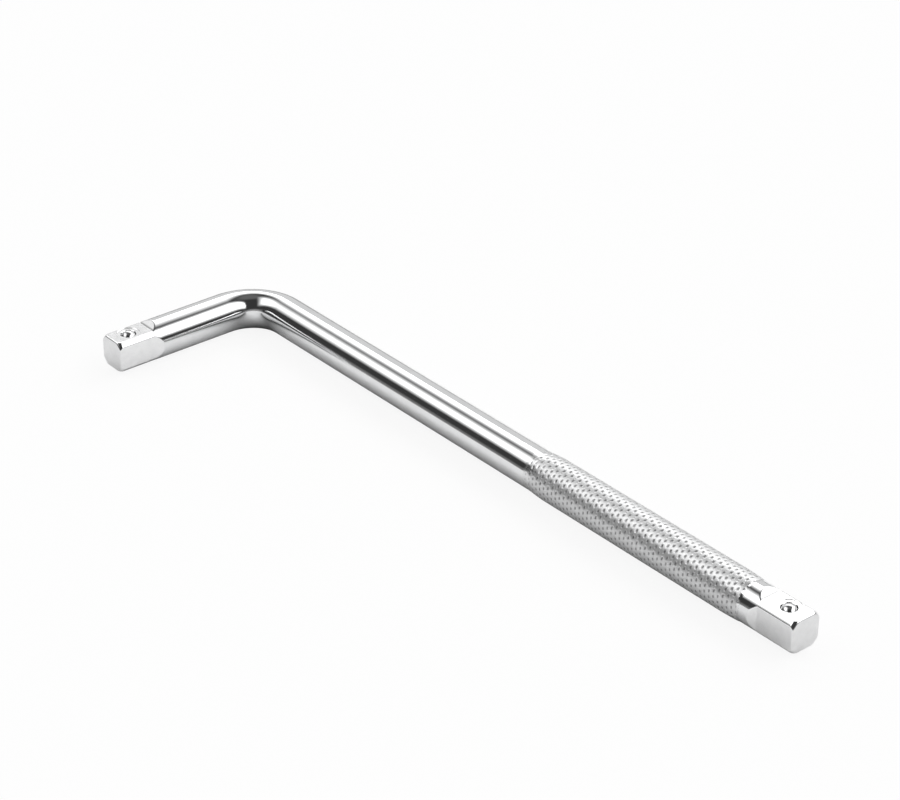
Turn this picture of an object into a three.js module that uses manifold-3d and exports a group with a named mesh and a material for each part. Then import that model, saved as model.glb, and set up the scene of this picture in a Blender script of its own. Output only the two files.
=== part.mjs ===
// L-handle: a round steel bar bent to a right angle, with a square socket drive at each end.
// Each square holds a detent ball on a coil spring, kept in by a staked rim. Millimetres, +Z up.
// The L lies flat with its balls facing up. The two leg axes meet at the corner point: the long
// leg runs from there along +X, the short leg along -Y.
import * as THREE from 'three';
import { mergeVertices } from 'three/addons/utils/BufferGeometryUtils.js';
import Module from 'manifold-3d';

// Bar
const barDiameter = 16;
const longLeg = 305; // from the corner point to the long drive's tip
const shortLeg = 71.5; // from the corner point to the short drive's tip
const bendRadius = 18.7; // of the bar's centre line
const bendPinch = 1.4; // how far the inside of the bend is pressed in at its middle

// Square drives, alike at both ends
const squareAcross = 12.7; // across the flats: half-inch drive
const flatLength = 16.3; // from the tip to the end of the flats
const rampLength = 3; // from there to where the ramp meets the round bar
const tipDiameter = 14.6; // of the end face, inside the cone that breaks the corners
const tipCone = 1.3; // length of that cone along the bar

// Knurled grip: diamond-shaped pits between two crossing sets of helical ridges
const knurlStart = 171.6; // from the corner point
const knurlLength = 109.2;
const knurlStarts = 22; // ridges of each set round the bar
const knurlRow = 2.1; // half the length of a pit along the bar
const knurlRise = 0.5; // of the ridges above the plain bar
const knurlSink = 0.1; // of the pits below the plain bar
const knurlRunIn = 1.2; // plain bar to first row, at each end

// Detent: ball, staked rim, pocket and spring
const ballDiameter = 6.35;
const ballProud = 1; // of the ball above the flat
const ballFromTip = 8;
const ballClearance = 0.3; // round the ball, to the pocket's wall and to the rim
const rimDiameter = 9.4; // of the staked recess round the ball
const rimDepth = 0.4; // of the recess
const rimHeight = 1; // of the lip that overhangs the ball
const pocketFloor = 1.8; // metal left under the spring
const springWire = 0.6;
const springWallGap = 0.55; // from the spring's outside to the pocket's wall
const springSeatGap = 0.3; // to the pocket's floor and to the ball
const springPitch = 1.25; // nominal, at rest

// Facets
const barSides = 2 * knurlStarts; // a corner on every crossing of ridges and in every pit
const bendSteps = 12;
const pocketSides = 32;
const ballSides = 24;
const wireSides = 5;
const stepsPerTurn = 8;

const barRadius = barDiameter / 2;
const ridgeRadius = barRadius + knurlRise;
const pitRadius = barRadius - knurlSink;
const halfSquare = squareAcross / 2;
const cutMargin = barRadius; // how far cutting shapes reach past the metal
const up = new THREE.Vector3(0, 0, 1);

const wasm = await Module();
wasm.setup();

// Solid from a closed geometry: shared corners merged, flattened triangles dropped
function toSolid(geometry) {
  const bare = geometry.clone();
  bare.deleteAttribute('normal');
  bare.deleteAttribute('uv');
  const merged = mergeVertices(bare);
  const corners = merged.index.array;
  const kept = [];
  for (let i = 0; i < corners.length; i += 3) {
    const [a, b, c] = corners.slice(i, i + 3);
    if (a !== b && b !== c && c !== a) kept.push(a, b, c);
  }
  const mesh = new wasm.Mesh({
    numProp: 3,
    vertProperties: new Float32Array(merged.attributes.position.array),
    triVerts: new Uint32Array(kept),
  });
  return new wasm.Manifold(mesh);
}

function toGeometry(solid) {
  const mesh = solid.getMesh();
  const geometry = new THREE.BufferGeometry();
  geometry.setAttribute('position', new THREE.BufferAttribute(mesh.vertProperties, 3));
  geometry.setIndex(new THREE.BufferAttribute(mesh.triVerts, 1));
  geometry.computeVertexNormals();
  return geometry;
}

// Closed skin over rings of equally many points, each end closed by a fan about its first point.
// A quad is split from its second corner where splitFromSecond(ring, place) says so.
function skin(rings, splitFromSecond = () => false) {
  const count = rings[0].length;
  const index = [];
  for (let r = 0; r + 1 < rings.length; r++) {
    for (let j = 0; j < count; j++) {
      const next = (j + 1) % count;
      const [a, b] = [r * count + j, r * count + next];
      const [d, c] = [a + count, b + count];
      if (splitFromSecond(r, j)) index.push(a, b, d, b, c, d);
      else index.push(a, b, c, a, c, d);
    }
  }
  const last = (rings.length - 1) * count;
  for (let j = 1; j + 1 < count; j++) {
    index.push(0, j + 1, j);
    index.push(last, last + j, last + j + 1);
  }
  const geometry = new THREE.BufferGeometry().setFromPoints(rings.flat());
  geometry.setIndex(index);
  geometry.computeVertexNormals();
  return geometry;
}

// Ring of the bar about a centre, square to a level heading; radiusAt gives each corner's radius
function barRing(centre, heading, radiusAt) {
  const left = new THREE.Vector3().crossVectors(up, heading);
  const ring = [];
  for (let j = 0; j < barSides; j++) {
    const angle = (2 * Math.PI * j) / barSides;
    const radius = radiusAt(j, angle);
    const point = centre.clone();
    point.addScaledVector(left, radius * Math.cos(angle));
    point.addScaledVector(up, radius * Math.sin(angle));
    ring.push(point);
  }
  return ring;
}

// Bar from the short tip round the bend to the long tip, still round at both ends
function roundBar() {
  const alongShort = new THREE.Vector3(0, 1, 0);
  const alongLong = new THREE.Vector3(1, 0, 0);
  const rings = [];
  const onShort = (distance, radius) => {
    rings.push(barRing(new THREE.Vector3(0, -distance, 0), alongShort, () => radius));
  };
  const onLong = (distance, radiusAt) => {
    rings.push(barRing(new THREE.Vector3(distance, 0, 0), alongLong, radiusAt));
  };

  onShort(shortLeg, tipDiameter / 2);
  onShort(shortLeg - tipCone, barRadius);
  for (let i = 0; i <= bendSteps; i++) {
    const turn = ((Math.PI / 2) * i) / bendSteps;
    const heading = new THREE.Vector3(Math.sin(turn), Math.cos(turn), 0);
    const centre = new THREE.Vector3(
      bendRadius * (1 - Math.cos(turn)),
      bendRadius * (Math.sin(turn) - 1),
      0,
    );
    const pinch = bendPinch * Math.sin(2 * turn) ** 2;
    rings.push(barRing(centre, heading, (j, angle) => {
      const inward = Math.max(0, -Math.cos(angle)); // 1 on the inside of the bend
      return barRadius - pinch * inward ** 2;
    }));
  }

  const rows = Math.round(knurlLength / knurlRow);
  const rowStep = knurlLength / rows;
  onLong(knurlStart - knurlRunIn, () => barRadius);
  const firstRow = rings.length;
  for (let k = 0; k <= rows; k++) {
    onLong(knurlStart + k * rowStep, (j) => ((j + k) % 2 ? pitRadius : ridgeRadius));
  }
  onLong(knurlStart + knurlLength + knurlRunIn, () => barRadius);
  onLong(longLeg - tipCone, () => barRadius);
  onLong(longLeg, () => tipDiameter / 2);

  // the ridges run along the edges between pits
  return skin(rings, (r, j) => (r - firstRow + j) % 2 !== 0);
}

// Removes one flat of a square and its ramp: drive's tip at the origin, facing +X, flat facing +Z
function flatCutter() {
  const rampSlope = rampLength / (barRadius - halfSquare);
  const top = barRadius + cutMargin;
  const profile = new THREE.Shape([
    new THREE.Vector2(cutMargin, halfSquare),
    new THREE.Vector2(cutMargin, top),
    new THREE.Vector2(-flatLength - rampSlope * (top - halfSquare), top),
    new THREE.Vector2(-flatLength, halfSquare),
  ]);
  const width = 2 * (barRadius + cutMargin);
  const cutter = new THREE.ExtrudeGeometry(profile, { depth: width, bevelEnabled: false });
  cutter.translate(0, 0, -width / 2);
  return cutter.rotateX(Math.PI / 2);
}

// Heights of the detent's pieces above the bar's axis
const ballRadius = ballDiameter / 2;
const pocketRadius = ballRadius + ballClearance;
const mouthHeight = halfSquare - rimDepth;
const ballHeight = halfSquare + ballProud - ballRadius;
const mouthRadius = Math.sqrt(pocketRadius ** 2 - (mouthHeight - ballHeight) ** 2);
const floorHeight = pocketFloor - halfSquare;

// Removes the pocket under a ball, from its floor up through the staked rim; axis on the ball's centre
function pocketCutter() {
  const profile = [
    new THREE.Vector2(0, floorHeight),
    new THREE.Vector2(pocketRadius, floorHeight),
    new THREE.Vector2(pocketRadius, mouthHeight - rimHeight),
    new THREE.Vector2(mouthRadius, mouthHeight),
    new THREE.Vector2(rimDiameter / 2, mouthHeight),
    new THREE.Vector2(rimDiameter / 2, halfSquare + cutMargin),
    new THREE.Vector2(0, halfSquare + cutMargin),
  ];
  return new THREE.LatheGeometry(profile, pocketSides).rotateX(Math.PI / 2);
}

// Spring from the pocket's floor to the ball, as one tube along a helix about the ball's axis
const springRadius = pocketRadius - springWallGap - springWire / 2;
const springLow = floorHeight + springSeatGap + springWire / 2;
const springReach = ballRadius + springSeatGap + springWire / 2;
const springHigh = ballHeight - Math.sqrt(springReach ** 2 - springRadius ** 2);
const springTurns = Math.max(2, Math.round((springHigh - springLow) / springPitch));

function springCentres() {
  const centres = [];
  const steps = springTurns * stepsPerTurn;
  for (let i = 0; i <= steps; i++) {
    const angle = (2 * Math.PI * i) / stepsPerTurn;
    const height = springLow + ((springHigh - springLow) * i) / steps;
    centres.push(new THREE.Vector3(springRadius * Math.cos(angle), springRadius * Math.sin(angle), height));
  }
  return centres;
}

function springTube() {
  const rings = springCentres().map((centre) => {
    const out = new THREE.Vector3(centre.x, centre.y, 0).normalize();
    const ring = [];
    for (let j = 0; j < wireSides; j++) {
      const angle = (-2 * Math.PI * j) / wireSides;
      const point = centre.clone();
      point.addScaledVector(out, (springWire / 2) * Math.cos(angle));
      point.addScaledVector(up, (springWire / 2) * Math.sin(angle));
      ring.push(point);
    }
    return ring;
  });
  return skin(rings);
}

// Least gap between the spring's turns, on points at least half a turn apart
function springGap() {
  const centres = springCentres();
  let least = Infinity;
  for (let i = 0; i < centres.length; i++) {
    for (let j = i + stepsPerTurn / 2; j < centres.length; j++) {
      least = Math.min(least, centres[i].distanceTo(centres[j]) - springWire);
    }
  }
  return least;
}
console.log(`springs: least gap between turns ${springGap().toFixed(2)} mm`);

const chrome = { color: 0xd9dadb, roughness: 0.1, metalness: 1 };
const ballSteel = { color: 0xb4b6b8, roughness: 0.18, metalness: 1 };
const springSteel = { color: 0x8d8f91, roughness: 0.4, metalness: 1 };

function piece(name, geometry, finish) {
  const mesh = new THREE.Mesh(geometry, new THREE.MeshStandardMaterial(finish));
  mesh.name = name;
  return mesh;
}

// Each drive: where its tip is and how far it is turned about +Z from facing +X
const drives = [
  { name: 'long_drive', tip: new THREE.Vector3(longLeg, 0, 0), turn: 0 },
  { name: 'short_drive', tip: new THREE.Vector3(0, -shortLeg, 0), turn: -Math.PI / 2 },
];

const lHandle = new THREE.Group();
let bar = toSolid(roundBar());
for (const { name, tip, turn } of drives) {
  const place = new THREE.Matrix4().makeRotationZ(turn).setPosition(tip);
  for (let side = 0; side < 4; side++) {
    const cutter = flatCutter().rotateX((Math.PI / 2) * side);
    bar = bar.subtract(toSolid(cutter.applyMatrix4(place)));
  }
  const pocket = pocketCutter().translate(-ballFromTip, 0, 0);
  bar = bar.subtract(toSolid(pocket.applyMatrix4(place)));

  const ball = piece(`${name}_ball`, new THREE.SphereGeometry(ballRadius, ballSides, ballSides / 2), ballSteel);
  ball.position.set(-ballFromTip, 0, ballHeight);
  ball.rotation.x = Math.PI / 2;
  const spring = piece(`${name}_spring`, springTube(), springSteel);
  spring.position.set(-ballFromTip, 0, 0);
  const detent = new THREE.Group();
  detent.position.copy(tip);
  detent.rotation.z = turn;
  detent.add(ball, spring);
  lHandle.add(detent);
}
lHandle.add(piece('handle_bar', toGeometry(bar), chrome));

// Origin at the middle of the underside, which the knurl's ridges reach
lHandle.position.set((barRadius - longLeg) / 2, (shortLeg - ridgeRadius) / 2, ridgeRadius);

export default lHandle;
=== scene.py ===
import math

import bmesh
import bpy
import numpy as np
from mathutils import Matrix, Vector


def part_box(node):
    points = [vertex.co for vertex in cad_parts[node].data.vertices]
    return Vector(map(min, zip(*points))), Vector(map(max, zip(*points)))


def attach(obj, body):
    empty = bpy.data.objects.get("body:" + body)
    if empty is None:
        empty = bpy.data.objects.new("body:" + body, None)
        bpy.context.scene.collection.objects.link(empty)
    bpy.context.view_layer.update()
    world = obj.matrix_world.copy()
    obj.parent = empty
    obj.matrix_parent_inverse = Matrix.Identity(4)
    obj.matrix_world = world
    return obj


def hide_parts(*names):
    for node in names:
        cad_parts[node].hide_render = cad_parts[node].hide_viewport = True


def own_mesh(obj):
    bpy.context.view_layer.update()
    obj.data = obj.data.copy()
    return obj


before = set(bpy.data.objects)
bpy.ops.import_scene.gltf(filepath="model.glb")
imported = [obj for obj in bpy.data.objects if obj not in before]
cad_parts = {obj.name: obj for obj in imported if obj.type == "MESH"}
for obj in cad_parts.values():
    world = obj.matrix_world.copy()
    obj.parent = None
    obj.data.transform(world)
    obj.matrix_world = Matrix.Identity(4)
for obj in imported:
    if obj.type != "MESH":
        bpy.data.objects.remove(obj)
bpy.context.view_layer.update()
mm = 0.001
up = np.array((0.0, 0.0, 1.0))


def centreOf(node):
    low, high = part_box(node)
    return (low + high) / 2


# places that the frame gives
barLow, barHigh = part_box("handle_bar")
longBall = centreOf("long_drive_ball")
shortBall = centreOf("short_drive_ball")
corner = np.array((shortBall.x, longBall.y, (barLow.z + barHigh.z) / 2))  # where the leg axes meet
barRadius = corner[0] - barLow.x
crestRadius = corner[2] - barLow.z  # out to the knurl's points
longLeg = barHigh.x - corner[0]
shortLeg = corner[1] - barLow.y
print("frame read: long leg %.1f mm, short leg %.1f mm" % (longLeg / mm, shortLeg / mm))


# small helpers for meshes

def meshObject(name, points, faces):
    mesh = bpy.data.meshes.new(name)
    mesh.from_pydata([tuple(p) for p in points], [], faces)
    mesh.update()
    made = bpy.data.objects.new(name, mesh)
    bpy.context.scene.collection.objects.link(made)
    return made


def quadStrip(first, second, count):
    # faces between two rings of points that start at these indices
    return [
        (first + j, first + (j + 1) % count, second + (j + 1) % count, second + j)
        for j in range(count)
    ]


def softMin(a, b, width):
    # the lesser of two, rounded over where they cross
    share = np.clip(0.5 + 0.5 * (b - a) / width, 0, 1)
    return b + (a - b) * share - width * share * (1 - share)


def smoothStep(low, high, x):
    t = np.clip((x - low) / (high - low), 0, 1)
    return t * t * (3 - 2 * t)


# the bar: bent rod, square drives and rolled knurl in one skin
bar = {
    "bendRadius": 18.7 * mm,  # of the centre line
    "bendPinch": 1.4 * mm,  # the inside of the bend is pressed in by this much
    "bendSteps": 48,
    "plainStep": 9 * mm,  # between rings on plain stretches
    "quadrant": ((36.2, 18), (38.7, 10), (51.3, 10), (53.8, 10), (90, 18)),  # degrees reached, steps
    "capRings": (0.985, 0.5),  # rings on each end face, as shares of its outline
    "milledFrom": 0.03 * mm,  # faces of the drives sunk deeper than this are milled
    "sharpFrom": 32,  # degrees between faces
}
drive = {
    "across": 12.7 * mm,
    "flat": 16.3 * mm,  # from the tip
    "ramp": 3 * mm,
    "tipDiameter": 14.6 * mm,
    "cone": 1.3 * mm,
    "edge": 0.15 * mm,  # rounding along the flats
    "coneBlend": 0.4 * mm,  # past the cone, where its edge rounds over
    "tipRound": 0.5 * mm,
    "tipSteps": 15,  # degrees between the rings of that rounding
    "rampEase": 1.0 * mm,  # the ramp starts at a crease and steepens over this length
    "crease": 0.6,  # share of its slope at the crease
    "creaseWidth": 0.04 * mm,  # either side
    "rampBlend": 0.5 * mm,  # past the ramp, where its edge rounds over
    "blendOut": 5 * mm,  # past the ramp the points spread evenly again
    "leastFacing": 0.3,  # a flat is met only by points that face it this much
}
knurl = {
    "start": 171.6 * mm,  # from the corner point
    "length": 109.2 * mm,
    "starts": 22,
    "row": 2.1 * mm,  # from one row of pits to the next
    "perRow": 8,  # rings of points in a row
    "pitDepth": 0.2 * mm,
    "ridgeFlat": (0.2, 0.0),  # share of the way to a pit's middle that each set of ridges takes
    "pitFlat": 0.1,  # share that the level bottom of a pit takes
    "pitSpan": (0.5, 0.4),  # share of a row that a pit takes along the bar, and its sloping part
    "bite": (0.8 * mm, 0.35),  # the roll bites in over this length, to this share of its depth
    "fadeIn": 10 * mm,  # the pits deepen and the bar swells over this length
    "pitsEnd": 0.3 * mm,
    "taper": (2 * mm, 9 * mm),  # at the far end the swelling goes down in two stages
    "after": 1 * mm,  # to the first plain ring past it
}
halfSquare = drive["across"] / 2
driveEnd = drive["flat"] + drive["ramp"]
sides = 4 * sum(steps for reach, steps in bar["quadrant"])


def driveAngles():
    # points crowd along the long edges of the flats
    angles, start = [], 0.0
    for reach, steps in bar["quadrant"]:
        angles += [start + (reach - start) * k / steps for k in range(steps)]
        start = reach
    return np.radians([90 * quarter + a for quarter in range(4) for a in angles])


crowded = driveAngles()
even = 2 * np.pi * np.arange(sides) / sides


def anglesAt(fromTip):
    share = smoothStep(driveEnd + drive["blendOut"], driveEnd, fromTip)
    return share * crowded + (1 - share) * even


def rampRise(past):
    # height gained at this distance past the end of the flats
    slope = (barRadius - halfSquare) / drive["ramp"]
    eased = min(max(past, 0.0), drive["rampEase"])
    steepens = (1 - drive["crease"]) / (2 * drive["rampEase"])
    return slope * (drive["crease"] * eased + steepens * eased ** 2 + max(0.0, past - drive["rampEase"]))


def driveRadii(angles, fromTip):
    plane = halfSquare + rampRise(fromTip - drive["flat"])
    radius = np.full(sides, barRadius)
    for face in range(4):
        facing = np.cos(angles - face * np.pi / 2)
        least = drive["leastFacing"]
        flat = np.where(facing > least, plane / np.maximum(facing, least), 2 * barRadius)
        radius = softMin(radius, flat, drive["edge"])
    tipRadius = drive["tipDiameter"] / 2
    cone = tipRadius + (barRadius - tipRadius) * fromTip / drive["cone"]
    radius = softMin(radius, cone, drive["edge"])
    inset = max(0.0, drive["tipRound"] - fromTip)
    return radius - (drive["tipRound"] - math.sqrt(drive["tipRound"] ** 2 - inset ** 2))


def driveStations():
    # distances from the tip, close together where the shape turns
    turns = range(0, 90, drive["tipSteps"])
    rounded = [drive["tipRound"] * (1 - math.cos(math.radians(a))) for a in turns]
    coneEnd = drive["cone"] + drive["coneBlend"]
    ease, tight = drive["rampEase"], drive["creaseWidth"]
    rampEnd = driveEnd + drive["rampBlend"]
    stretches = (  # from, to, steps
        (drive["tipRound"], coneEnd, 14),
        (coneEnd, drive["flat"] - tight, 16),
        (drive["flat"] - tight, drive["flat"] + tight, 2),
        (drive["flat"] + tight, drive["flat"] + ease, 8),
        (drive["flat"] + ease, rampEnd, 18),
        (rampEnd, driveEnd + drive["blendOut"], 5),
    )
    return rounded + [a + (b - a) * k / n for a, b, n in stretches for k in range(n)]


def pitPattern(angles, along):
    # how far the roll has bitten in here, and how far each point lies in a pit, both from 0 to 1
    turn = angles * knurl["starts"] / np.pi + knurl["starts"] / 2
    row = along / knurl["row"]
    share = np.ones(len(angles))
    for helix, level in zip(((turn + row) / 2, (turn - row) / 2), knurl["ridgeFlat"]):
        offRidge = 2 * np.abs(helix - np.round(helix))
        share = np.minimum(share, np.clip((offRidge - level) / (1 - level - knurl["pitFlat"]), 0, 1))
    span, slope = knurl["pitSpan"]
    offRow = 2 * np.abs(row - np.round(row))
    share = np.minimum(share, np.clip((span - offRow) / slope, 0, 1))
    biteLength, biteShare = knurl["bite"]
    bitten = biteShare * smoothStep(0, biteLength, along)
    bitten += (1 - biteShare) * smoothStep(0, knurl["fadeIn"], along)
    bitten *= smoothStep(0, knurl["pitsEnd"], knurl["length"] - along)
    return bitten, share * share * (3 - 2 * share)


def knurlRadii(angles, along):
    # short pits between two crossing sets of helical ridges
    bitten, sunk = pitPattern(angles, along)
    swell = smoothStep(0, knurl["fadeIn"], along)
    swell *= sum(smoothStep(0, length, knurl["length"] - along) for length in knurl["taper"]) / 2
    return barRadius + swell * (crestRadius - barRadius) - bitten * knurl["pitDepth"] * sunk


def barRing(centre, heading, angles, radii):
    inside = np.array((heading[1], -heading[0], 0.0))  # towards the inside of the bend
    spread = np.outer(np.cos(angles), up) + np.outer(np.sin(angles), inside)
    return centre + radii[:, None] * spread


def barRings():
    alongShort = np.array((0.0, 1.0, 0.0))
    alongLong = np.array((1.0, 0.0, 0.0))
    rings = []
    stations = driveStations()
    settled = driveEnd + drive["blendOut"]
    bend = bar["bendRadius"]

    def onShort(fromTip):
        angles = anglesAt(fromTip)
        centre = corner - (shortLeg - fromTip) * alongShort
        rings.append(barRing(centre, alongShort, angles, driveRadii(angles, fromTip)))

    def onLong(distance):
        angles = anglesAt(longLeg - distance)
        centre = corner + distance * alongLong
        onGrip = distance - knurl["start"]
        if 0 <= onGrip <= knurl["length"]:
            radii = knurlRadii(angles, onGrip)
        else:
            radii = driveRadii(angles, longLeg - distance)
        rings.append(barRing(centre, alongLong, angles, radii))

    def plain(place, start, stop):
        steps = max(1, round((stop - start) / bar["plainStep"]))
        for k in range(steps):
            place(start + (stop - start) * k / steps)

    for fromTip in stations:
        onShort(fromTip)
    plain(onShort, settled, shortLeg - bend)
    for k in range(bar["bendSteps"]):
        turn = math.pi / 2 * k / bar["bendSteps"]
        heading = np.array((math.sin(turn), math.cos(turn), 0.0))
        centre = corner + bend * np.array((1 - math.cos(turn), math.sin(turn) - 1, 0.0))
        pressed = bar["bendPinch"] * math.sin(2 * turn) ** 2
        radii = barRadius - pressed * np.maximum(0, np.sin(even)) ** 2
        rings.append(barRing(centre, heading, even, radii))
    plain(onLong, bend, knurl["start"])
    rows = round(knurl["length"] / knurl["row"]) * knurl["perRow"]
    for k in range(rows + 1):
        onLong(knurl["start"] + knurl["length"] * k / rows)
    plain(onLong, knurl["start"] + knurl["length"] + knurl["after"], longLeg - settled)
    for fromTip in reversed(stations):
        onLong(longLeg - fromTip)
    return rings


def skinOf(rings):
    # both end faces close on a middle point
    points, faces = [], []

    def cap(ring):
        middle = ring.mean(axis=0)
        return [middle + (ring - middle) * share for share in bar["capRings"]], middle

    startCaps, startMiddle = cap(rings[0])
    endCaps, endMiddle = cap(rings[-1])
    allRings = startCaps[::-1] + list(rings) + endCaps
    for ring in allRings:
        points.extend(ring)
    for k in range(len(allRings) - 1):
        faces += quadStrip(k * sides, (k + 1) * sides, sides)
    startIndex = len(points)
    points += [startMiddle, endMiddle]
    last = (len(allRings) - 1) * sides
    for j in range(sides):
        following = (j + 1) % sides
        faces.append((startIndex, following, j))
        faces.append((startIndex + 1, last + j, last + following))
    return points, faces


# the pocket under each ball, cut out of the bar's skin
pocket = {
    "gap": 0.3 * mm,  # round the ball
    "rimDiameter": 9.4 * mm,  # the staked recess round the ball
    "rimDepth": 0.2 * mm,
    # the recess's slope, as mm in from its edge and share of its depth
    "rimDish": ((0.3, 0), (0.25, 0), (0.15, 0.22), (0.06, 0.6), (0, 1)),
    "mouthEdge": 0.2 * mm,
    "lipSteps": 4,  # up the lip that closes in over the ball
    "floor": 1.8 * mm,  # metal left under the spring
    "foot": ((0.4, 0), (0.1, 0.1), (0, 0.4)),  # rounding at the foot of the wall, mm in from it and up
    "cutterRise": 3 * mm,  # above the flat
    "steps": 96,
}


def pocketCutter(name, ballCentre, ballRadius):
    wall = ballRadius + pocket["gap"]
    flatTop = corner[2] + halfSquare
    rim = pocket["rimDiameter"] / 2
    recess = flatTop - pocket["rimDepth"]
    edge = pocket["mouthEdge"]
    floorTop = corner[2] - halfSquare + pocket["floor"]
    lipRise = recess - edge - ballCentre.z
    top = flatTop + pocket["cutterRise"]
    profile = [(0, floorTop)]
    profile += [(wall - inward * mm, floorTop + rise * mm) for inward, rise in pocket["foot"]]
    for k in range(pocket["lipSteps"] + 1):
        rise = lipRise * k / pocket["lipSteps"]
        profile.append((math.sqrt(wall ** 2 - rise ** 2), ballCentre.z + rise))
    mouth = profile[-1][0]
    profile += [
        (mouth + edge, recess),
        (mouth + 2 * edge, recess),
        *((rim - inward * mm, recess + share * pocket["rimDepth"]) for inward, share in pocket["rimDish"]),
        (rim, top),
        (0, top),
    ]
    count = pocket["steps"]
    angles = 2 * np.pi * np.arange(count) / count
    points = [(ballCentre.x, ballCentre.y, profile[0][1])]
    faces = []
    for radius, height in profile[1:-1]:
        for a in angles:
            x = ballCentre.x + radius * math.cos(a)
            y = ballCentre.y + radius * math.sin(a)
            points.append((x, y, height))
    points.append((ballCentre.x, ballCentre.y, profile[-1][1]))
    for k in range(len(profile) - 3):
        faces += quadStrip(1 + k * count, 1 + (k + 1) * count, count)
    lastRing = 1 + (len(profile) - 3) * count
    for j in range(count):
        following = (j + 1) % count
        faces.append((0, 1 + following, 1 + j))
        faces.append((len(points) - 1, lastRing + j, lastRing + following))
    return meshObject(name, points, faces)


def carve(target, cutters):
    for cutter in cutters:
        cut = target.modifiers.new(cutter.name, "BOOLEAN")
        cut.operation = "DIFFERENCE"
        cut.solver = "EXACT"
        cut.object = cutter
    graph = bpy.context.evaluated_depsgraph_get()
    carved = bpy.data.meshes.new_from_object(target.evaluated_get(graph))
    target.modifiers.clear()
    target.data = carved
    for cutter in cutters:
        bpy.data.objects.remove(cutter)


def pointsOf(mesh):
    points = np.zeros(3 * len(mesh.vertices))
    mesh.vertices.foreach_get("co", points)
    return points.reshape(-1, 3)


def markPits(mesh):
    # tells the finish where the roll has bitten in and where the pits are, which the finish darkens as
    # painted shade
    points = pointsOf(mesh) - corner
    along = points[:, 0] - knurl["start"]
    bitten, sunk = pitPattern(np.arctan2(-points[:, 1], points[:, 2]), along)
    bitten[along <= 0] = 0
    # the second value is painted shade: the deeper a point lies in a pit, the darker the finish paints it
    for name, values in (("bitten", bitten), ("paintedPitShade", bitten * sunk)):
        mesh.attributes.new(name, "FLOAT", "POINT").data.foreach_set("value", values)


def sharpenRims(mesh):
    # the dished recesses end in a clean edge on the flats
    points = pointsOf(mesh)
    close = 0.02 * mm
    onRim = np.zeros(len(points), bool)
    for centre in (longBall, shortBall):
        away = np.hypot(points[:, 0] - centre.x, points[:, 1] - centre.y)
        onRim |= np.abs(away - pocket["rimDiameter"] / 2) < close
    onRim &= np.abs(points[:, 2] - corner[2] - halfSquare) < close
    for edge in mesh.edges:
        if onRim[edge.vertices[0]] and onRim[edge.vertices[1]]:
            edge.use_edge_sharp = True


def dressBar(finishes):
    points, faces = skinOf(barRings())
    piece = meshObject("handle_bar_dressed", points, faces)
    ballRadius = (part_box("long_drive_ball")[1].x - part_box("long_drive_ball")[0].x) / 2
    carve(piece, [
        pocketCutter("long_pocket", longBall, ballRadius),
        pocketCutter("short_pocket", shortBall, ballRadius),
    ])
    mesh = piece.data
    mesh.materials.clear()
    for finish in finishes:
        mesh.materials.append(finish)
    centres = np.zeros(3 * len(mesh.polygons))
    mesh.polygons.foreach_get("center", centres)
    centres = centres.reshape(-1, 3) - corner
    # which finish each face takes: polished bar, milled square or knurl
    fromLongTip = longLeg - centres[:, 0]
    fromShortTip = shortLeg + centres[:, 1]
    offLong = np.hypot(centres[:, 1], centres[:, 2])
    offShort = np.hypot(centres[:, 0], centres[:, 2])
    depth = barRadius - bar["milledFrom"]
    milled = (fromLongTip < driveEnd) & ((offLong < depth) | (fromLongTip < drive["cone"]))
    milled |= (fromShortTip < driveEnd) & ((offShort < depth) | (fromShortTip < drive["cone"]))
    onGrip = centres[:, 0] - knurl["start"]
    knurled = (onGrip > 0) & (onGrip < knurl["length"])
    index = np.where(knurled, 2, np.where(milled, 1, 0)).astype(np.int32)
    mesh.polygons.foreach_set("material_index", index)
    mesh.polygons.foreach_set("use_smooth", np.ones(len(mesh.polygons), bool))
    mesh.set_sharp_from_angle(angle=math.radians(bar["sharpFrom"]))
    sharpenRims(mesh)
    markPits(mesh)
    mesh.update()
    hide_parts("handle_bar")
    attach(piece, "handle")
    print("bar dressed: %d faces" % len(mesh.polygons))


# detent balls
ball = {"cuts": 20, "crownWear": 0.012 * mm}  # the crown is worn a trifle flat by sockets


def dressBall(node, body, finish):
    low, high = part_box(node)
    centre = (low + high) / 2
    radius = (high.x - low.x) / 2
    shape = bmesh.new()
    bmesh.ops.create_cube(shape, size=2)
    bmesh.ops.subdivide_edges(shape, edges=shape.edges[:], cuts=ball["cuts"], use_grid_fill=True)
    for vert in shape.verts:
        # even spread of a cube's grid over the ball
        spread = Vector([math.tan(c * math.pi / 4) for c in vert.co])
        place = spread.normalized() * radius
        place.z = min(place.z, radius - ball["crownWear"])
        vert.co = centre + place
    for face in shape.faces:
        face.smooth = True
    mesh = bpy.data.meshes.new(node + "_dressed")
    shape.to_mesh(mesh)
    shape.free()
    piece = bpy.data.objects.new(node + "_dressed", mesh)
    bpy.context.scene.collection.objects.link(piece)
    mesh.materials.append(finish)
    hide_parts(node)
    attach(piece, body)


# coil springs under the balls
spring = {
    "wire": 0.6 * mm,
    "turns": 4,
    "closedPitch": 0.72 * mm,  # of the first and last turn
    "stepsPerTurn": 48,
    "wireSides": 14,
}


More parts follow.
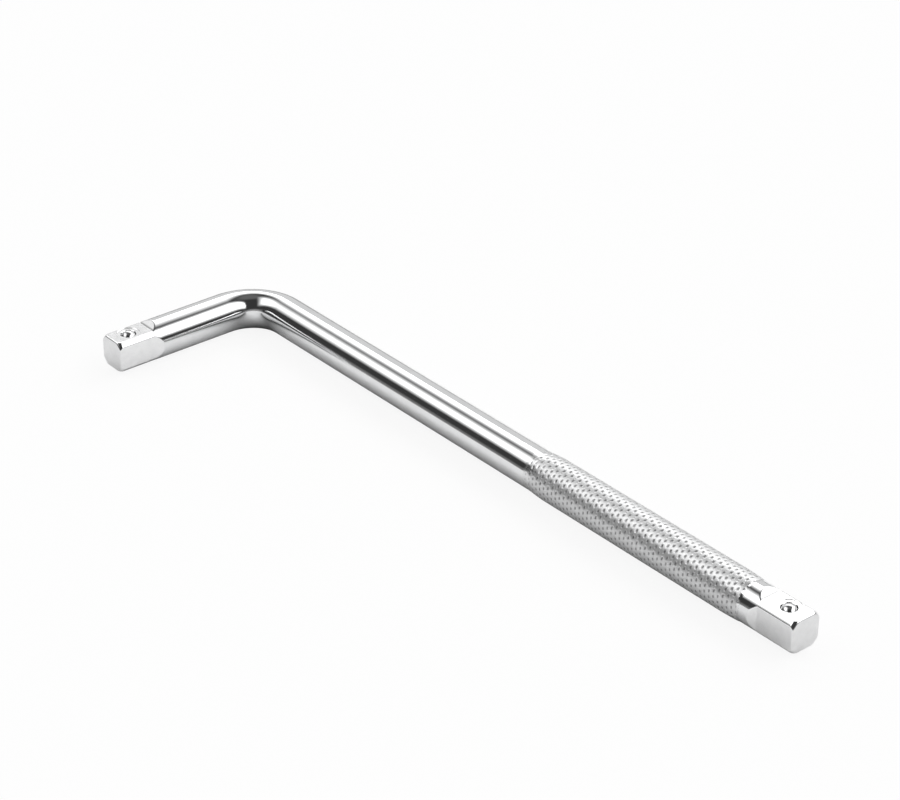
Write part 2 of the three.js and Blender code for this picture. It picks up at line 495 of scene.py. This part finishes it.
def dressSpring(node, finish):
    low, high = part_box(node)
    middle = (low + high) / 2
    wire = spring["wire"] / 2
    radius = (high.x - low.x) / 2 - wire
    rise = high.z - low.z - 2 * wire
    openPitch = (rise - 2 * spring["closedPitch"]) / (spring["turns"] - 2)
    steps = spring["turns"] * spring["stepsPerTurn"]
    sidesOfWire = spring["wireSides"]
    points, faces = [], []
    for k in range(steps + 1):
        turns = k / spring["stepsPerTurn"]
        lower = min(turns, 1.0) * spring["closedPitch"]
        upper = max(0.0, turns - spring["turns"] + 1) * spring["closedPitch"]
        active = min(max(turns - 1, 0.0), spring["turns"] - 2.0) * openPitch
        height = low.z + wire + lower + active + upper
        angle = 2 * math.pi * turns
        out = Vector((math.cos(angle), math.sin(angle), 0))
        centre = Vector((middle.x, middle.y, height)) + out * radius
        for j in range(sidesOfWire):
            a = -2 * math.pi * j / sidesOfWire
            points.append(centre + out * wire * math.cos(a) + Vector((0, 0, wire * math.sin(a))))
    for k in range(steps):
        faces += quadStrip(k * sidesOfWire, (k + 1) * sidesOfWire, sidesOfWire)
    faces.append(tuple(reversed(range(sidesOfWire))))
    faces.append(tuple(steps * sidesOfWire + j for j in range(sidesOfWire)))
    piece = meshObject(node + "_dressed", points, faces)
    for face in piece.data.polygons:
        face.use_smooth = len(face.vertices) == 4
    piece.data.materials.append(finish)
    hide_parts(node)
    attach(piece, "handle")
    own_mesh(piece)


# node helpers

def addNode(tree, kind, **settings):
    node = tree.nodes.new(kind)
    for name, value in settings.items():
        if name in node.inputs:
            node.inputs[name].default_value = value
        else:
            setattr(node, name, value)
    return node


def mathNode(tree, operation, *inputs):
    node = tree.nodes.new("ShaderNodeMath")
    node.operation = operation
    for k, value in enumerate(inputs):
        if isinstance(value, (int, float)):
            node.inputs[k].default_value = value
        else:
            tree.links.new(value, node.inputs[k])
    return node.outputs[0]


def rangeNode(tree, value, low, high, newLow=0.0, newHigh=1.0, smooth=False):
    node = tree.nodes.new("ShaderNodeMapRange")
    node.interpolation_type = "SMOOTHSTEP" if smooth else "LINEAR"
    tree.links.new(value, node.inputs["Value"])
    settings = (("From Min", low), ("From Max", high), ("To Min", newLow), ("To Max", newHigh))
    for name, given in settings:
        if isinstance(given, (int, float)):
            node.inputs[name].default_value = given
        else:
            tree.links.new(given, node.inputs[name])
    return node.outputs["Result"]


def newGroup(name, inputs, outputs):
    group = bpy.data.node_groups.new(name, "ShaderNodeTree")
    for title, kind, value in inputs:
        socket = group.interface.new_socket(title, in_out="INPUT", socket_type=kind)
        if value is not None:
            socket.default_value = value
    for title, kind in outputs:
        group.interface.new_socket(title, in_out="OUTPUT", socket_type=kind)
    return group, group.nodes.new("NodeGroupInput"), group.nodes.new("NodeGroupOutput")


def placeGroup(tree, group, **values):
    node = tree.nodes.new("ShaderNodeGroup")
    node.node_tree = group
    for name, value in values.items():
        node.inputs[name].default_value = value
    return node


# cloudy unevenness of plating, as a value round zero
def makeCloud():
    group, given, out = newGroup(
        "platingCloud",
        (("Size", "NodeSocketFloat", 300.0), ("Detail", "NodeSocketFloat", 3.0)),
        (("Cloud", "NodeSocketFloat"),),
    )
    coords = group.nodes.new("ShaderNodeTexCoord")
    noise = group.nodes.new("ShaderNodeTexNoise")
    group.links.new(coords.outputs["Object"], noise.inputs["Vector"])
    group.links.new(given.outputs["Size"], noise.inputs["Scale"])
    group.links.new(given.outputs["Detail"], noise.inputs["Detail"])
    cloud = mathNode(group, "SUBTRACT", noise.outputs["Fac"], 0.5)
    group.links.new(cloud, out.inputs["Cloud"])
    return group


# fine hairlines, longer along X and Y than across
def makeHairlines():
    group, given, out = newGroup(
        "fineHairlines",
        (("Stretch", "NodeSocketVector", (40.0, 40.0, 4000.0)),),
        (("Hairline", "NodeSocketFloat"),),
    )
    coords = group.nodes.new("ShaderNodeTexCoord")
    scaled = group.nodes.new("ShaderNodeVectorMath")
    scaled.operation = "MULTIPLY"
    group.links.new(coords.outputs["Object"], scaled.inputs[0])
    group.links.new(given.outputs["Stretch"], scaled.inputs[1])
    noise = addNode(group, "ShaderNodeTexNoise", Scale=1.0, Detail=4.0, Roughness=0.65)
    group.links.new(scaled.outputs[0], noise.inputs["Vector"])
    group.links.new(mathNode(group, "SUBTRACT", noise.outputs["Fac"], 0.5), out.inputs["Hairline"])
    return group


cloudGroup = makeCloud()
hairlineGroup = makeHairlines()


def newFinish(name, **settings):
    finish = bpy.data.materials.new(name)
    finish.use_nodes = True
    shader = finish.node_tree.nodes["Principled BSDF"]
    for title, value in settings.items():
        shader.inputs[title.replace("_", " ")].default_value = value
    return finish, finish.node_tree, shader


def mixColours(tree, share, first, second):
    mix = tree.nodes.new("ShaderNodeMix")
    mix.data_type = "RGBA"
    tree.links.new(share, mix.inputs["Factor"])
    for title, colour in (("A", first), ("B", second)):
        if isinstance(colour, tuple):
            mix.inputs[title].default_value = (*colour, 1)
        else:
            tree.links.new(colour, mix.inputs[title])
    return next(s for s in mix.outputs if s.type == "RGBA")


def cloudOf(tree, look):
    size, detail = look["cloud"]
    return placeGroup(tree, cloudGroup, Size=size, Detail=detail).outputs["Cloud"]


def hairOf(tree, look):
    return placeGroup(tree, hairlineGroup, Stretch=look["hair"]).outputs["Hairline"]


def shadeTone(tree, shader, cloud, look):
    # the tone wanders between two greys with the cloud
    share = rangeNode(tree, cloud, *look["between"])
    tree.links.new(mixColours(tree, share, look["dark"], look["light"]), shader.inputs["Base Color"])


def uneven(tree, value, look, rough):
    # roughness that follows a value round zero
    return mathNode(tree, "MULTIPLY_ADD", value, look["roughSpread"], rough)


def addBump(tree, shader, height, look):
    strength, distance = look["bump"]
    bump = addNode(tree, "ShaderNodeBump", Strength=strength, Distance=distance)
    tree.links.new(height, bump.inputs["Height"])
    tree.links.new(bump.outputs["Normal"], shader.inputs["Normal"])


polish = {
    "light": (0.9, 0.905, 0.91),
    "dark": (0.84, 0.845, 0.85),
    "between": (-0.25, 0.25),  # cloud values where the tone is dark and light
    "rough": 0.085,
    "roughSpread": 0.04,
    "cloud": (220.0, 3.0),  # size and detail
    "hair": (60.0, 60.0, 5000.0),  # how fine the hairlines are along X, Y and Z
    "bump": (0.15, 0.004 * mm),  # strength and distance
}


def polishedChrome():
    finish, tree, shader = newFinish("polishedChrome", Metallic=1.0)
    cloud = cloudOf(tree, polish)
    hair = hairOf(tree, polish)
    shadeTone(tree, shader, cloud, polish)
    rough = uneven(tree, hair, polish, uneven(tree, cloud, polish, polish["rough"]))
    tree.links.new(rough, shader.inputs["Roughness"])
    addBump(tree, shader, hair, polish)
    return finish


milledTone = {
    "light": (0.95, 0.952, 0.955),
    "dark": (0.88, 0.883, 0.887),
    "between": (-0.3, 0.15),
    "rough": 0.13,
    "roughSpread": 0.05,
    "cloud": (420.0, 4.0),
    "hair": (700.0, 700.0, 2500.0),
    "bump": (0.04, 0.01 * mm),
}


def milledChrome():
    finish, tree, shader = newFinish("milledChrome", Metallic=1.0)
    cloud = cloudOf(tree, milledTone)
    hair = hairOf(tree, milledTone)
    shadeTone(tree, shader, cloud, milledTone)
    tree.links.new(uneven(tree, cloud, milledTone, milledTone["rough"]), shader.inputs["Roughness"])
    addBump(tree, shader, mathNode(tree, "ADD", cloud, hair), milledTone)
    return finish


knurlTone = {
    "ridge": (0.77, 0.772, 0.775),
    # the pits' tone is painted shade in the recesses
    "pit": (0.28, 0.281, 0.283),
    "pitFrom": (0.1, 0.9),  # pit values where the tone is the ridge's and where it is the pits' painted shade
    "pitCloud": 0.25,  # share of the cloud in that
    "rough": 0.41,
    "roughSpread": 0.12,
    "cloud": (600.0, 3.0),
}


def knurledChrome():
    # polished like the bar where the roll hasn't bitten, satin on the ridges and painted shade darkening
    # the pits
    finish, tree, shader = newFinish("knurledChrome", Metallic=1.0)
    bitten = addNode(tree, "ShaderNodeAttribute", attribute_name="bitten").outputs["Fac"]
    paintedShadeInPits = addNode(tree, "ShaderNodeAttribute", attribute_name="paintedPitShade").outputs["Fac"]
    cloud = cloudOf(tree, knurlTone)
    satin = mixColours(tree, rangeNode(tree, bitten, 0, 1), polish["light"], knurlTone["ridge"])
    clouded = mathNode(tree, "MULTIPLY_ADD", cloud, knurlTone["pitCloud"], paintedShadeInPits)
    # painted shade: the finish darkens towards the pit tone the deeper a point lies in a pit
    dark = rangeNode(tree, clouded, *knurlTone["pitFrom"])
    tree.links.new(mixColours(tree, dark, satin, knurlTone["pit"]), shader.inputs["Base Color"])
    rough = rangeNode(tree, bitten, 0, 1, polish["rough"], knurlTone["rough"])
    tree.links.new(uneven(tree, cloud, knurlTone, rough), shader.inputs["Roughness"])
    return finish


ballTone = {
    "light": (0.8, 0.805, 0.81),
    "dark": (0.66, 0.665, 0.67),
    "between": (-0.25, 0.2),
    "rough": 0.14,
    "roughSpread": 0.08,
    "cloud": (900.0, 4.0),
}


def ballSteel():
    finish, tree, shader = newFinish("ballSteel", Metallic=1.0)
    cloud = cloudOf(tree, ballTone)
    shadeTone(tree, shader, cloud, ballTone)
    tree.links.new(uneven(tree, cloud, ballTone, ballTone["rough"]), shader.inputs["Roughness"])
    return finish


springTone = {
    "light": (0.6, 0.605, 0.61),
    "dark": (0.42, 0.425, 0.43),
    "between": (-0.25, 0.25),
    "rough": 0.38,
    "roughSpread": 0.2,
    "cloud": (1500.0, 4.0),
    "hair": (900.0, 900.0, 9000.0),
}


def springSteel():
    finish, tree, shader = newFinish("springSteel", Metallic=1.0)
    shadeTone(tree, shader, cloudOf(tree, springTone), springTone)
    hair = hairOf(tree, springTone)
    tree.links.new(uneven(tree, hair, springTone, springTone["rough"]), shader.inputs["Roughness"])
    return finish


dressBar([polishedChrome(), milledChrome(), knurledChrome()])
steel = ballSteel()
wireFinish = springSteel()
for end, body in (("long", "long_ball"), ("short", "short_ball")):
    dressBall(end + "_drive_ball", body, steel)
    dressSpring(end + "_drive_spring", wireFinish)
print("balls and springs dressed")

# studio: a pale floor, and softbox panels round it that light the floor and show in the chrome
panels = {  # degrees: heading from +X, half width, lower and upper edge, and how softly each edge fades
    "left": {
        "heading": -128, "half": 32.4, "low": 36.6, "high": 63,
        "sideFade": 70, "lowFade": 26, "topFade": 40, "strength": 3.0,
    },
    "back": {
        "heading": 123, "half": 46.2, "low": 33.8, "high": 51.6,
        "sideFade": 66, "lowFade": 5, "topFade": 44, "strength": 3.3,
    },
    "right": {
        "heading": 44, "half": 48, "low": 33.3, "high": 52,
        "sideFade": 15, "lowFade": 38, "topFade": 33, "strength": 4.9,
    },
    "backWall": {
        "heading": 133, "half": 60, "low": -12, "high": 38.5,
        "sideFade": 19, "lowFade": 8, "topFade": 6, "strength": 0.7,
    },
    "front": {
        "heading": -48, "half": 42, "low": -12, "high": 6,
        "sideFade": 20, "lowFade": 8, "topFade": 14, "strength": 0.35,
    },
}
room = {
    "overhead": 0.13,
    "dark": 0.04,
    "turnsOverhead": (64, 78),  # degrees up
    "horizon": 0.2,
    "horizonRise": 14,
}


def makePanel():
    group, given, out = newGroup(
        "softboxPanel",
        tuple(
            (title, "NodeSocketFloat", 0.0)
            for title in ("heading", "half", "low", "high", "sideFade", "lowFade", "topFade", "strength")
        ),
        (("Light", "NodeSocketFloat"),),
    )
    coords = group.nodes.new("ShaderNodeTexCoord")
    turned = addNode(group, "ShaderNodeVectorRotate", rotation_type="Z_AXIS", invert=True)
    group.links.new(coords.outputs["Generated"], turned.inputs["Vector"])
    group.links.new(mathNode(group, "RADIANS", given.outputs["heading"]), turned.inputs["Angle"])
    parts = group.nodes.new("ShaderNodeSeparateXYZ")
    group.links.new(turned.outputs["Vector"], parts.inputs[0])
    aside = mathNode(group, "ARCTAN2", parts.outputs["Y"], parts.outputs["X"])
    aside = mathNode(group, "ABSOLUTE", mathNode(group, "DEGREES", aside))
    rise = mathNode(group, "DEGREES", mathNode(group, "ARCTAN2", parts.outputs["Z"], parts.outputs["X"]))
    light = given.outputs["strength"]
    for value, limit, fade, sign in (
        (aside, "half", "sideFade", -0.5),
        (rise, "low", "lowFade", 0.5),
        (rise, "high", "topFade", -0.5),
    ):
        before = mathNode(group, "MULTIPLY_ADD", given.outputs[fade], -sign, given.outputs[limit])
        after = mathNode(group, "MULTIPLY_ADD", given.outputs[fade], sign, given.outputs[limit])
        light = mathNode(group, "MULTIPLY", light, rangeNode(group, value, before, after, smooth=True))
    group.links.new(light, out.inputs["Light"])
    return group


def studioWorld():
    world = bpy.data.worlds.new("studio")
    bpy.context.scene.world = world
    world.use_nodes = True
    tree = world.node_tree
    background = tree.nodes["Background"]
    background.inputs["Color"].default_value = (1, 1, 1, 1)
    panelGroup = makePanel()
    coords = tree.nodes.new("ShaderNodeTexCoord")
    parts = tree.nodes.new("ShaderNodeSeparateXYZ")
    tree.links.new(coords.outputs["Generated"], parts.inputs[0])
    rise = mathNode(tree, "DEGREES", mathNode(tree, "ARCSINE", parts.outputs["Z"]))
    light = rangeNode(tree, rise, *room["turnsOverhead"], room["dark"], room["overhead"])
    low = rangeNode(tree, rise, 0, room["horizonRise"], room["horizon"], 0.0, smooth=True)
    light = mathNode(tree, "MAXIMUM", light, low)
    for panel in panels.values():
        values = {title: float(value) for title, value in panel.items()}
        placed = placeGroup(tree, panelGroup, **values)
        light = mathNode(tree, "MAXIMUM", light, placed.outputs["Light"])
    # the camera sees white past the floor, everything else sees the panels
    path = tree.nodes.new("ShaderNodeLightPath")
    seen = rangeNode(tree, path.outputs["Is Camera Ray"], 0, 1, light, 1.0)
    tree.links.new(seen, background.inputs["Strength"])


floor = {
    "half": 4.0,
    "tone": 0.95,
    "farTone": 0.25,  # the bench past the pale sheet
    "sheet": (0.13, 0.36),  # from the middle, metres over which the sheet gives way to it
    "shadowKept": 0.1,
    "paintedContactShadow": (14 * mm, 0.7),  # painted contact shadow: the floor's colour darkens this near the bar, where less than this share is open
    # tone of that painted contact shadow
    "paintedShadowTone": 0.2,
    "paintedShadowSamples": 8,
    "rough": 0.9,
}


def paleFloor():
    half = floor["half"]
    ground = meshObject(
        "floor", [(-half, -half, 0), (half, -half, 0), (half, half, 0), (-half, half, 0)], [(0, 1, 2, 3)]
    )
    finish, tree, shader = newFinish("paleFloor", Roughness=floor["rough"])
    shader.inputs["Specular IOR Level"].default_value = 0.0
    coords = tree.nodes.new("ShaderNodeTexCoord")
    away = tree.nodes.new("ShaderNodeVectorMath")
    away.operation = "LENGTH"
    tree.links.new(coords.outputs["Object"], away.inputs[0])
    tones = floor["tone"], floor["farTone"]
    tone = rangeNode(tree, away.outputs["Value"], *floor["sheet"], *tones, smooth=True)
    # painted contact shadow: ambient occlusion darkens the floor's colour near the bar, which the chrome
    # reflects
    reach, openShare = floor["paintedContactShadow"]
    near = addNode(tree, "ShaderNodeAmbientOcclusion", Distance=reach, samples=floor["paintedShadowSamples"])
    paintedContactShadow = rangeNode(tree, near.outputs["AO"], 0, openShare, floor["paintedShadowTone"], 1.0)
    tone = mathNode(tree, "MULTIPLY", tone, paintedContactShadow)
    # white to the camera, with a share of its shadow; the chrome sees the floor as it is lit, with a
    # painted contact shadow darkening its colour near the bar
    path = tree.nodes.new("ShaderNodeLightPath")
    tone = rangeNode(tree, path.outputs["Is Camera Ray"], 0, 1, tone, 1.0)
    tree.links.new(tone, shader.inputs["Base Color"])
    glow = tree.nodes.new("ShaderNodeEmission")
    mix = tree.nodes.new("ShaderNodeMixShader")
    share = mathNode(tree, "MULTIPLY", path.outputs["Is Camera Ray"], 1 - floor["shadowKept"])
    tree.links.new(share, mix.inputs["Fac"])
    tree.links.new(shader.outputs["BSDF"], mix.inputs[1])
    tree.links.new(glow.outputs["Emission"], mix.inputs[2])
    tree.links.new(mix.outputs["Shader"], tree.nodes["Material Output"].inputs["Surface"])
    ground.data.materials.append(finish)


# camera at the photograph's angle
view = {
    "azimuth": 50.6,
    "elevation": 29.82,
    "distance": 979.4 * mm,
    "target": (112.14 * mm, 7.63 * mm, 0),  # from the corner point
    "lens": 103.3,  # millimetres, like the sensor
    "sensor": 36,
    "clip": (10 * mm, 50),  # metres
}


def photoCamera():
    camera = bpy.data.cameras.new("photoCamera")
    camera.lens = view["lens"]
    camera.sensor_width = view["sensor"]
    camera.clip_start, camera.clip_end = view["clip"]
    holder = bpy.data.objects.new("photoCamera", camera)
    bpy.context.scene.collection.objects.link(holder)
    azimuth, elevation = math.radians(view["azimuth"]), math.radians(view["elevation"])
    level = math.cos(elevation)
    back = Vector((math.sin(azimuth) * level, -math.cos(azimuth) * level, math.sin(elevation)))
    holder.location = Vector(corner) + Vector(view["target"]) + back * view["distance"]
    holder.rotation_mode = "QUATERNION"
    holder.rotation_quaternion = (-back).to_track_quat("-Z", "Y")
    bpy.context.scene.camera = holder


studioWorld()
paleFloor()
photoCamera()
bpy.context.scene.view_settings.view_transform = "Standard"
print("studio and camera set")

bpy.context.view_layer.update()
